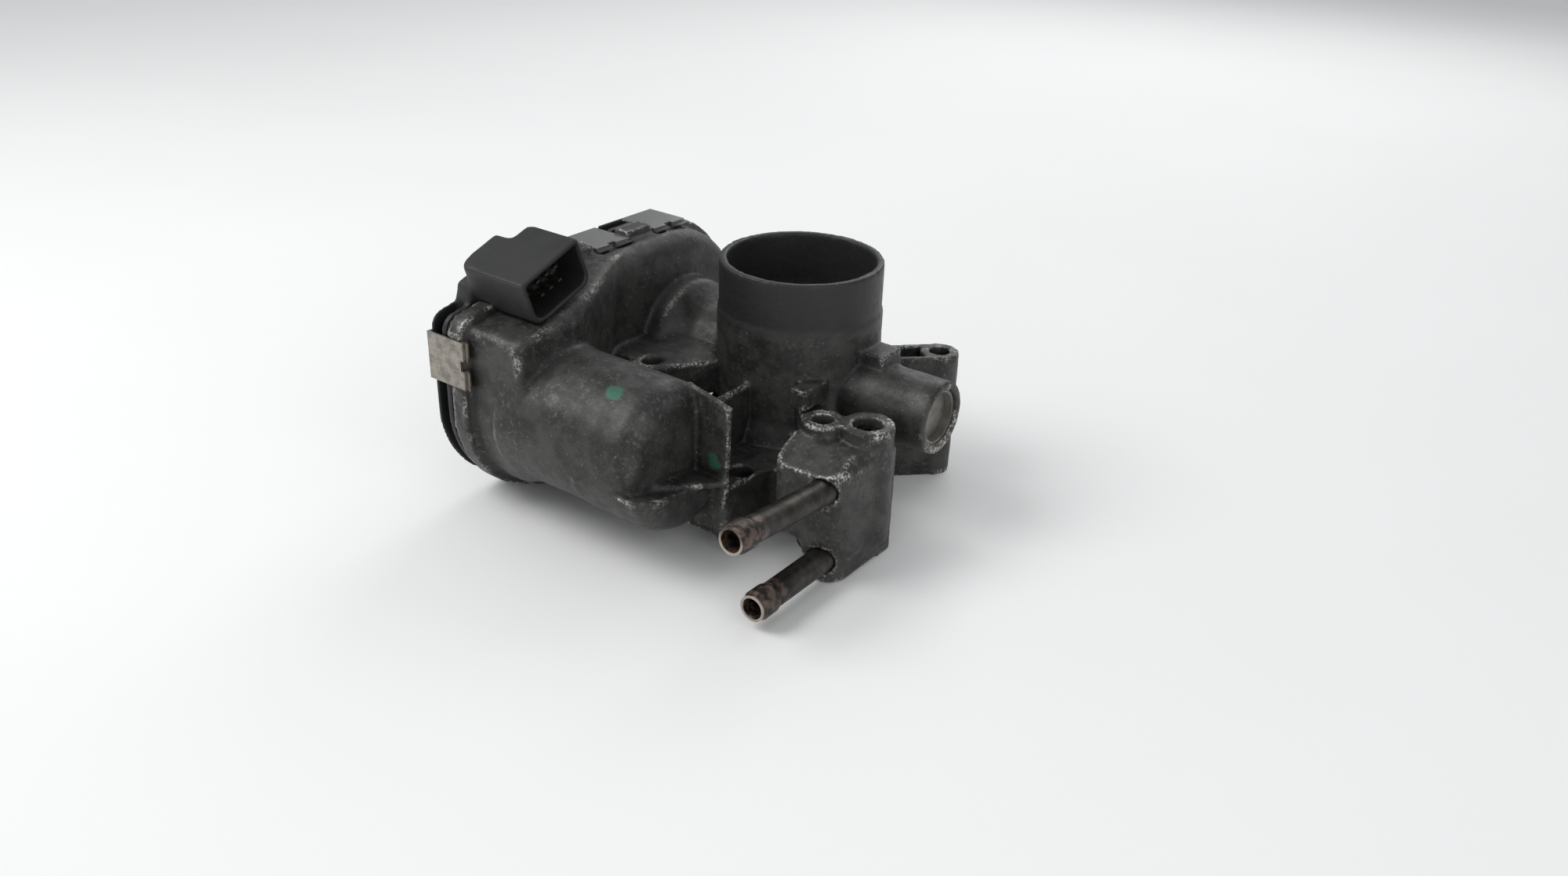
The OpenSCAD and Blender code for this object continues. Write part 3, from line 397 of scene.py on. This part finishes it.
@dataclass(frozen=True)
class CastFinish(Finish):
    """Old die-cast aluminium: sandy skin, oily patches, bright edges painted as a highlight together with
    rubbed wear, painted shade with grime in the hollows, and a turned collar.

    Attributes:
        edge_glint_and_wear: colour of the bright edges, a painted highlight together with rubbed wear.
        bare: colour of the casting skin where the grime is thin.
        collar: colour of the turned band under the inlet rim.
        collar_from: height at which that band starts.
        collar_radius: radius inside which the band lies.
        dabs: centres of the inspection paint dabs, with a radius each.
        paint: colour of the dabs.
    """

    edge_glint_and_wear: str = "#bab8b2"
    bare: str = "#5f5e5b"
    collar: str = "#2b2b2b"
    collar_from: float = 0.064
    collar_radius: float = 0.030
    dabs: tuple[tuple[Vector, float], ...] = ()
    paint: str = "#38705a"

    def finish(self, tree: Tree, shader: bpy.types.Node, where: Socket) -> None:
        """Add the bright edges (painted highlight with rubbed wear), the painted shade with grime in the
        hollows, the turned collar, the paint and the coarse casting skin.
        """
        cast = shader.inputs["Base Color"].links[0].from_socket
        edges = add(
            tree, "ShaderNodeAttribute", attribute_type="GEOMETRY", attribute_name="proud"
        ).outputs["Fac"]
        # painted highlight: proud edges turn a bright grey, broken up in patches like rubbed wear
        sharp = mask(tree, edges, 0.12, 0.40)
        broken = mask(tree, noise(tree, where, 0.9, 5.0), 0.42, 0.62)
        stretch = mask(tree, noise(tree, where, 9.0), 0.42, 0.62)
        bright_marks = maths(tree, "MULTIPLY", maths(tree, "MULTIPLY", sharp, broken), stretch)
        # painted shade: hollows darken towards near black, together with grime
        hollow_shade = mask(tree, edges, -0.05, -0.45)
        shade_and_grime = blend_colour(tree, maths(tree, "MULTIPLY", hollow_shade, 0.7), cast, srgb("#171716"))
        mottle = mask(tree, noise(tree, where, 1.7, 6.0), 0.52, 0.66)
        patch = mask(tree, noise(tree, where, 16.0), 0.42, 0.60)
        mottle = maths(tree, "MULTIPLY", maths(tree, "MULTIPLY", mottle, patch), 0.6)
        shade_and_grime = blend_colour(tree, mottle, shade_and_grime, srgb(self.bare))
        # bright edges: painted highlight together with rubbed wear
        edge_glint_and_wear = blend_colour(tree, bright_marks, shade_and_grime, srgb(self.edge_glint_and_wear))
        specks = mask(tree, noise(tree, where, 0.8, 2.0), 0.66, 0.74)
        edge_glint_and_wear = blend_colour(tree, maths(tree, "MULTIPLY", specks, 0.3), edge_glint_and_wear, srgb(self.edge_glint_and_wear))

        split = add(tree, "ShaderNodeSeparateXYZ", links={0: where})
        level = add(tree, "ShaderNodeCombineXYZ", links={0: split.outputs[0], 1: split.outputs[1]})
        reach = add(tree, "ShaderNodeVectorMath", links={0: level.outputs[0]}, operation="LENGTH")
        inside = mask(tree, reach.outputs["Value"], self.collar_radius + MM, self.collar_radius)
        wavy = maths(tree, "MULTIPLY_ADD", noise(tree, where, 9.0), 0.003)
        tree.links.new(split.outputs[2], wavy.node.inputs[2])
        above = mask(tree, wavy, self.collar_from, self.collar_from + 0.004)
        band = maths(tree, "MULTIPLY", inside, above)
        coloured = blend_colour(tree, band, edge_glint_and_wear, srgb(self.collar))

        smear = add(
            tree, "ShaderNodeTexNoise", {"Scale": per_mm(5.0), "Detail": 3.0}, {"Vector": where}
        )
        shifted = add(
            tree,
            "ShaderNodeVectorMath",
            {1: (0.004, 0.004, 0.004)},
            {0: smear.outputs["Color"], 2: where},
            operation="MULTIPLY_ADD",
        )
        for centre, radius in self.dabs:
            gap = add(
                tree,
                "ShaderNodeVectorMath",
                {1: centre + Vector((0.002, 0.002, 0.002))},
                {0: shifted.outputs[0]},
                operation="DISTANCE",
            )
            dab = mask(tree, gap.outputs["Value"], radius, radius * 0.6)
            thin = maths(tree, "MULTIPLY", dab, 0.75)
            coloured = blend_colour(tree, thin, coloured, srgb(self.paint))
        tree.links.new(coloured, shader.inputs["Base Color"])

        fine = shader.inputs["Normal"].links[0].from_node
        skin = maths(tree, "SUBTRACT", noise(tree, where, 2.6, 4.0), band)
        coarse = add(
            tree,
            "ShaderNodeBump",
            {"Strength": 0.55, "Distance": 0.25 * MM},
            {"Height": skin, "Normal": fine.outputs[0]},
        )
        tree.links.new(coarse.outputs[0], shader.inputs["Normal"])


@dataclass(frozen=True)
class StripFinish(Finish):
    """Spring strip with a painted shade that makes it greyer on the top of the cover than on its sides.

    Attributes:
        top_shade_tone: colour of the painted shade on the strip on the top of the cover.
        top_shade_from: height at which that painted shade is full.
    """

    top_shade_tone: str = "#858584"
    top_shade_from: float = 0.074

    def finish(self, tree: Tree, shader: bpy.types.Node, where: Socket) -> None:
        """Add the painted shade on the top, patchy, with fine gaps left bright."""
        strip = shader.inputs["Base Color"].links[0].from_socket
        height = add(tree, "ShaderNodeSeparateXYZ", links={0: where}).outputs[2]
        # painted shade: the clips on the top of the cover get a greyer, darker tone by height
        on_top = mask(tree, height, self.top_shade_from - 0.006, self.top_shade_from)
        top_shade_film = maths(tree, "MULTIPLY", on_top, mask(tree, noise(tree, where, 1.5, 5.0), 0.30, 0.45))
        tree.links.new(
            blend_colour(tree, top_shade_film, strip, srgb(self.top_shade_tone)), shader.inputs["Base Color"]
        )


@dataclass(frozen=True)
class RustyTubeFinish(Finish):
    """Plated steel tube that has started to rust from its open end.

    Attributes:
        rust: colour of the rust.
        mouth: Y of the tube's open end.
        rusty: length from the open end that is rusty all over.
        rim_highlight: colour of the painted highlight on the rim, also used for rubbed spots near the
            mouth.
    """

    rust: str = "#54423a"
    mouth: float = -0.099
    rusty: float = 0.011
    rim_highlight: str = "#a79c90"

    def finish(self, tree: Tree, shader: bpy.types.Node, where: Socket) -> None:
        """Add the rust, thick near the mouth and in specks along the tube, a painted highlight on the rim
        and rubbed spots near the mouth.
        """
        bare = shader.inputs["Base Color"].links[0].from_socket
        along = add(tree, "ShaderNodeSeparateXYZ", links={0: where}).outputs[1]
        near = mask(tree, along, self.mouth + self.rusty + 0.003, self.mouth + self.rusty)
        blotch = mask(tree, noise(tree, where, 3.0, 5.0), 0.40, 0.60)
        near = maths(tree, "MULTIPLY", near, blotch)
        stray = mask(tree, noise(tree, where, 6.0, 5.0), 0.58, 0.72)
        amount = maths(tree, "MAXIMUM", near, maths(tree, "MULTIPLY", stray, 0.6))
        rusted = blend_colour(tree, amount, bare, srgb(self.rust))
        # painted highlight: a thin bright ring at the open end, joined by rubbed spots near the mouth
        rim_highlight = mask(tree, along, self.mouth + 0.0006, self.mouth + 0.0002)
        bright_marks = mask(tree, noise(tree, where, 1.2, 4.0), 0.60, 0.72)
        near_rubbed = maths(tree, "MULTIPLY", maths(tree, "MULTIPLY", near, bright_marks), 0.7)
        rim_highlight_and_rub = maths(tree, "MAXIMUM", rim_highlight, near_rubbed)
        tree.links.new(
            blend_colour(tree, rim_highlight_and_rub, rusted, srgb(self.rim_highlight)), shader.inputs["Base Color"]
        )
        bright = maths(tree, "MULTIPLY_ADD", amount, -0.8)
        bright.node.inputs[2].default_value = 0.9
        tree.links.new(bright, shader.inputs["Metallic"])


# ------------------------------------------------------------------ sub-assemblies


@dataclass
class CastHousing:
    """The die casting: throat, gear case, motor casing and coolant block in one skin.

    Attributes:
        voxel: grid of the skin, which also sets its finest edge.
        softening: smoothing passes all over.
        blending: further passes where the casting is softly blended.
        foot_x: X past which the coolant block's foot lies.
        foot_y: Y in front of which that foot lies.
        foot_z: height up to which that foot is blended.
        shoulder: X range of the gear case's blended shoulders.
        bore_reach: radius inside which the bores stay smooth.
        collar_reach: radius inside which the turned collar stays smooth.
        collar_from: height at which the turned collar starts.
        edge_reach: softening passes that set how wide a bright edge (painted highlight and wear) and a
            shaded hollow read.
        wave: size of the casting's slight waves.
        wave_height: height of those waves.
        triangles: most triangles that the skin may keep.
    """

    voxel: float = 0.75 * MM
    softening: int = 4
    blending: int = 34
    foot_x: float = 0.030
    foot_y: float = -0.030
    foot_z: float = 0.016
    shoulder: tuple[float, float] = (-0.0605, -0.030)
    bore_reach: float = 0.0262
    collar_reach: float = 0.030
    collar_from: float = 0.064
    edge_reach: int = 10
    wave: float = 0.005
    wave_height: float = 0.0003
    triangles: int = 190_000

    def build(self, finish: Finish) -> list[bpy.types.Object]:
        """Build the skin over the CAD solid and dress it.

        Args:
            finish: the cast finish.

        Returns:
            The pieces made.
        """
        skin = copy_of_node("housing", "housing_casting")
        apply_modifier(skin, "REMESH", mode="VOXEL", voxel_size=self.voxel)
        apply_modifier(skin, "SMOOTH", factor=0.5, iterations=self.softening)
        self.weigh_blends(skin)
        apply_modifier(
            skin, "SMOOTH", factor=0.5, iterations=self.blending, vertex_group="blends"
        )
        mark_edges(skin, self.edge_reach)
        self.roughen(skin)
        count = sum(len(face.vertices) - 2 for face in skin.data.polygons)
        if count > self.triangles:
            apply_modifier(skin, "DECIMATE", ratio=self.triangles / count)
        make_active(skin)
        bpy.ops.object.shade_smooth()
        dress(skin, finish.build())
        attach(skin, "housing_body")
        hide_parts("housing")
        return [skin]

    def roughen(self, skin: bpy.types.Object) -> None:
        """Raise the slight waviness that sand-blasted die casting shows, outside the bores."""
        group = skin.vertex_groups.new(name="cast_skin")
        for vertex in skin.data.vertices:
            place = vertex.co
            reach = math.hypot(place.x, place.y)
            if reach > self.bore_reach and not (
                place.z > self.collar_from and reach < self.collar_reach
            ):
                group.add([vertex.index], 1.0, "REPLACE")
        waves = bpy.data.textures.new("casting_waves", "CLOUDS")
        waves.noise_scale = self.wave
        apply_modifier(
            skin,
            "DISPLACE",
            texture=waves,
            strength=self.wave_height,
            mid_level=0.5,
            vertex_group="cast_skin",
        )

    def weigh_blends(self, skin: bpy.types.Object) -> None:
        """Mark the gear case's shoulders and the coolant block's foot, which are cast softly."""
        group = skin.vertex_groups.new(name="blends")
        low, high = self.shoulder
        for vertex in skin.data.vertices:
            place = vertex.co
            fade = min((place.x - low) / 0.004, (high - place.x) / 0.008, 1.0)
            if place.x > self.foot_x and place.y < self.foot_y:
                fade = min((self.foot_z - place.z) / 0.004, 1.0)
            if fade > 0:
                group.add([vertex.index], fade, "REPLACE")


@dataclass
class GearCover:
    """The moulded cover with its connector, and the spring clips that hold it.

    Attributes:
        voxel: grid of the skin, which also sets its finest edge.
        softening: smoothing passes all over.
        rounding: further passes at the connector's rear end.
        connector_rear: X at which that rounding starts.
        connector_foot: height at which it starts.
        connector_side: Y in front of which the connector lies.
        triangles: most triangles that the skin may keep.
        clip_edge: width of the clips' rolled edges.
    """

    voxel: float = 0.6 * MM
    softening: int = 3
    rounding: int = 60
    connector_rear: float = -0.064
    connector_foot: float = 0.0725
    connector_side: float = -0.054
    triangles: int = 150_000
    clip_edge: float = 0.18 * MM

    def build(self, cover: Finish, clip: Finish) -> list[bpy.types.Object]:
        """Build the cover's skin and the clips with rolled edges.

        Args:
            cover: finish of the plastic.
            clip: finish of the spring steel.

        Returns:
            The pieces made.
        """
        skin = copy_of_node("gear_cover", "cover_moulding")
        apply_modifier(skin, "REMESH", mode="VOXEL", voxel_size=self.voxel)
        apply_modifier(skin, "SMOOTH", factor=0.5, iterations=self.softening)
        self.weigh_rear(skin)
        apply_modifier(
            skin, "SMOOTH", factor=0.5, iterations=self.rounding, vertex_group="rear"
        )
        count = sum(len(face.vertices) - 2 for face in skin.data.polygons)
        if count > self.triangles:
            apply_modifier(skin, "DECIMATE", ratio=self.triangles / count)
        make_active(skin)
        bpy.ops.object.shade_smooth()
        dress(skin, cover.build())
        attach(skin, "housing_body")
        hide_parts("gear_cover")

        clips = copy_of_node("cover_clips", "spring_clips")
        apply_modifier(
            clips, "BEVEL", width=self.clip_edge, segments=2, limit_method="ANGLE", angle_limit=0.6
        )
        make_active(clips)
        bpy.ops.object.shade_smooth_by_angle(angle=math.radians(40))
        dress(clips, clip.build())
        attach(clips, "housing_body")
        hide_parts("cover_clips")
        return [skin, clips]

    def weigh_rear(self, skin: bpy.types.Object) -> None:
        """Mark the connector's rear end, which is moulded with large radii."""
        group = skin.vertex_groups.new(name="rear")
        for vertex in skin.data.vertices:
            place = vertex.co
            if place.z > self.connector_foot and place.y < self.connector_side:
                fade = (self.connector_rear - place.x) / 0.004
                lift = (place.z - self.connector_foot) / 0.003
                group.add([vertex.index], max(0.0, min(fade, lift, 1.0)), "REPLACE")


@dataclass
class CadGroup:
    """CAD nodes that keep their shape and share one finish.

    Attributes:
        nodes: the nodes' names.
        finish: the finish that they share.
    """

    nodes: tuple[str, ...]
    finish: Finish

    def build(self) -> list[bpy.types.Object]:
        """Dress each node and return them."""
        material = self.finish.build()
        pieces = [frame["nodes"][name] for name in self.nodes]
        for piece in pieces:
            dress(piece, material)
        return pieces


@dataclass
class Studio:
    """Pale floor, soft boxes and the camera.

    Attributes:
        place: the camera's place.
        azimuth: its turn about Z, in degrees.
        pitch: how far it looks down, in degrees.
        roll: its roll about the line of sight, in degrees.
        lens_mm: focal length.
        sensor_mm: width of the sensor.
    """

    place: Vector = field(default_factory=lambda: Vector((0.25107, -0.35854, 0.23573)))
    azimuth: float = 35.51
    pitch: float = 26.897
    roll: float = 2.085
    lens_mm: float = 31.23
    sensor_mm: float = 36.0

    def floor(self) -> None:
        """Add a flat pale sheet under the object."""
        deselect()
        bpy.ops.mesh.primitive_plane_add(size=6.0, location=(0.0, 0.0, 0.0))
        sheet = bpy.context.object
        sheet.name = "floor"
        paper = Finish(
            "matte_paper", ("#f4f4f3", "#f6f6f5"), 0.0, 0.9, Texture.MOULDED, 0.8, 300.0, 0.002
        )
        dress(sheet, paper.build())

    def lamp(self, name: str, place: Vector, size: float, power: float) -> None:
        """Add a square soft box that faces the object."""
        deselect()
        bpy.ops.object.light_add(type="AREA", location=place)
        light = bpy.context.object
        light.name = name
        light.data.size = size
        light.data.energy = power
        aim = Vector((0.0, -0.03, 0.03)) - place
        light.rotation_euler = aim.to_track_quat("-Z", "Y").to_euler()

    def world(self) -> None:
        """Even pale surroundings."""
        world = bpy.data.worlds.new("studio")
        world.use_nodes = True
        bpy.context.scene.world = world
        background = world.node_tree.nodes["Background"]
        background.inputs["Color"].default_value = srgb("#f2f4f7")
        background.inputs["Strength"].default_value = 0.5

    def camera(self) -> None:
        """Set the camera at the view's place and angle."""
        deselect()
        bpy.ops.object.camera_add(location=self.place)
        camera = bpy.context.object
        camera.name = "camera"
        camera.data.lens = self.lens_mm
        camera.data.sensor_width = self.sensor_mm
        camera.data.clip_start, camera.data.clip_end = 0.01, 20.0
        turn = (
            Matrix.Rotation(math.radians(self.azimuth), 3, "Z")
            @ Matrix.Rotation(math.radians(90 - self.pitch), 3, "X")
            @ Matrix.Rotation(math.radians(self.roll), 3, "Z")
        )
        camera.rotation_euler = turn.to_euler()
        bpy.context.scene.camera = camera

    def build(self) -> None:
        """Build the whole studio."""
        self.floor()
        self.world()
        self.lamp("key_box", Vector((-0.55, -0.55, 0.85)), 0.6, 6.5)
        self.lamp("fill_box", Vector((0.9, -0.4, 0.5)), 0.8, 2.2)
        self.lamp("back_box", Vector((-0.2, 0.9, 0.7)), 0.8, 3.5)
        self.camera()
        bpy.context.scene.view_settings.view_transform = "Standard"


def cad_groups() -> list[CadGroup]:
    """The pieces that keep their CAD shape, with the finish of each.

    Returns:
        One group for each finish.
    """
    return [
        *(
            CadGroup(
                (tube,),
                # plated tube: dull grey, rusty towards the mouth, with a painted highlight on the rim
                RustyTubeFinish(
                    "plated_steel_tube",
                    ("#2f2e2c", "#4b4844"),
                    0.8,
                    0.40,
                    Texture.BRUSHED,
                    0.4,
                    6.0,
                    mouth=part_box(tube)[0][1],
                ),
            )
            for tube in ("coolant_pipe_upper", "coolant_pipe_lower")
        ),
        CadGroup(
            ("shaft_end_plug",),
            # pressed steel: dull and slightly stained
            Finish("pressed_steel", ("#6b6863", "#87847e"), 0.4, 0.5, Texture.BRUSHED, 0.5, 5.0),
        ),
        CadGroup(
            ("coolant_port_plug",),
            # machined steel under old oil: almost black, with faint turning rings
            Finish("oiled_steel", ("#1c1c1b", "#2e2d2b"), 0.8, 0.5, Texture.TURNED, 0.4, 5.0),
        ),
        CadGroup(
            ("end_bearing", "needle_bearing", "idler_pin", "motor_shaft", "throttle_shaft"),
            # ground steel: bright with fine rings from grinding
            Finish("ground_steel", ("#9a9a9c", "#c2c2c4"), 1.0, 0.25, Texture.TURNED, 0.3, 10.0),
        ),
        CadGroup(
            ("throttle_plate",),
            # rolled brass: warm, a little tarnished and oily
            Finish("rolled_brass", ("#7d6a3c", "#a8935a"), 1.0, 0.38, Texture.BRUSHED, 0.4, 9.0),
        ),
        CadGroup(
            ("plate_screws", "motor_screws", "stop_screw", "motor_plate", "motor_can"),
            # zinc plate: grey with a soft spangle
            Finish(
                "zinc_plated_steel", ("#8a8c8e", "#b4b6b8"), 1.0, 0.35, Texture.SINTERED, 1.2, 7.0, 0.01
            ),
        ),
        CadGroup(
            ("cover_seal", "shaft_seals", "flange_o_ring"),
            # moulded nitrile rubber: deep matt black with no highlight
            Finish("nitrile_rubber", ("#0f0f0f", "#1c1c1c"), 0.0, 0.7, Texture.MOULDED, 0.3, 6.0),
        ),
        CadGroup(
            ("connector_pins", "motor_terminals"),
            # stamped brass under tin: a dull, slightly warm grey
            Finish("tinned_brass", ("#5a564a", "#77715f"), 0.9, 0.35, Texture.BRUSHED, 0.3, 3.0),
        ),
        CadGroup(
            ("sensor_board",),
            # glass-epoxy board: green lacquer over a woven cloth
            Finish(
                "glass_epoxy_board", ("#0f3d26", "#1c5a38"), 0.0, 0.35, Texture.SINTERED, 0.7, 5.0, 0.01
            ),
        ),
        CadGroup(
            ("sensor_magnet", "motor_magnets"),
            # sintered ferrite: charcoal grey, matt, with a fine grain
            Finish("ferrite", ("#1d1d1f", "#303033"), 0.0, 0.6, Texture.SINTERED, 0.4, 6.0),
        ),
        CadGroup(
            ("return_spring",),
            # drawn spring wire under oil: dark, with a soft sheen along the wire
            Finish(
                "oiled_spring_wire", ("#2c2b2a", "#4a4846"), 0.9, 0.35, Texture.BRUSHED, 0.3, 5.0
            ),
        ),
        CadGroup(
            ("sector_gear", "idler_gear"),
            # moulded nylon: milky, a soft sheen, fine mould texture
            Finish(
                "moulded_nylon", ("#b5ad93", "#d2cbb4"), 0.0, 0.42, Texture.MOULDED, 0.35, 9.0, 0.015
            ),
        ),
        CadGroup(
            ("motor_pinion",),
            # hobbed brass: bright yellow with fine tool lines
            Finish("cut_brass", ("#a5853c", "#c8a95a"), 1.0, 0.28, Texture.BRUSHED, 0.3, 3.0),
        ),
        CadGroup(
            ("motor_brush_card",),
            # moulded phenolic: dark brown, half matt
            Finish("phenolic", ("#3a2716", "#5a3e24"), 0.0, 0.55, Texture.MOULDED, 0.4, 5.0),
        ),
        CadGroup(
            ("motor_brushes",),
            # pressed carbon: near black, with a dull grain
            Finish("carbon_brush", ("#121212", "#242424"), 0.1, 0.6, Texture.SINTERED, 0.3, 3.0),
        ),
        CadGroup(
            ("motor_bushes",),
            # sintered bronze: brown, porous and oily
            Finish("sintered_bronze", ("#7c5a30", "#a07a48"), 0.9, 0.5, Texture.SINTERED, 0.3, 3.0),
        ),
        CadGroup(
            ("armature_core",),
            # stacked sheet: 0.5 mm laminations seen on edge
            Finish(
                "stacked_lamination_steel", ("#4a4b4e", "#77797c"), 1.0, 0.45, Texture.LAMINATED, 0.5, 6.0
            ),
        ),
        CadGroup(
            ("armature_windings", "commutator"),
            # enamelled copper wire: red brown and glossy, in even turns
            Finish(
                "enamelled_copper", ("#6e2f14", "#a85a2c"), 0.9, 0.32, Texture.WOUND, 0.5, 4.0, 0.1
            ),
        ),
    ]


def main() -> None:
    """Build every sub-assembly in order and log its pieces."""
    logging.basicConfig(level=logging.INFO)
    # old die casting: dark and sandy, with bright edges painted as a highlight together with rubbed wear,
    # and painted shade with grime in the hollows
    cast = CastFinish(
        "weathered_die_cast_aluminium",
        ("#242423", "#42413f"),
        0.3,
        0.48,
        Texture.MOULDED,
        0.45,
        7.0,
        0.08,
        dabs=(
            (Vector((-0.0106, -0.0823, 0.0582)), 0.0038),
            (Vector((0.0127, -0.0616, 0.0338)), 0.0036),
        ),
    )
    # glass-filled plastic: black with a dry, faintly grained surface
    plastic = Finish(
        "glass_filled_plastic", ("#181818", "#252525"), 0.0, 0.55, Texture.MOULDED, 0.3, 16.0, 0.02
    )
    # spring steel strip: dull, warm grey, with rolling lines, and a painted shade that greys it on the
    # top of the cover
    strip = StripFinish(
        "spring_steel_strip", ("#77716a", "#a19b92"), 0.85, 0.42, Texture.BRUSHED, 0.35, 4.0, 0.02
    )
    made = CastHousing().build(cast) + GearCover().build(plastic, strip)
    for group in cad_groups():
        made += group.build()
    for piece in made:
        LOG.info("%s: %d faces", piece.name, len(piece.data.polygons))
    Studio().build()
    deselect()


if __name__ == "__main__":
    main()
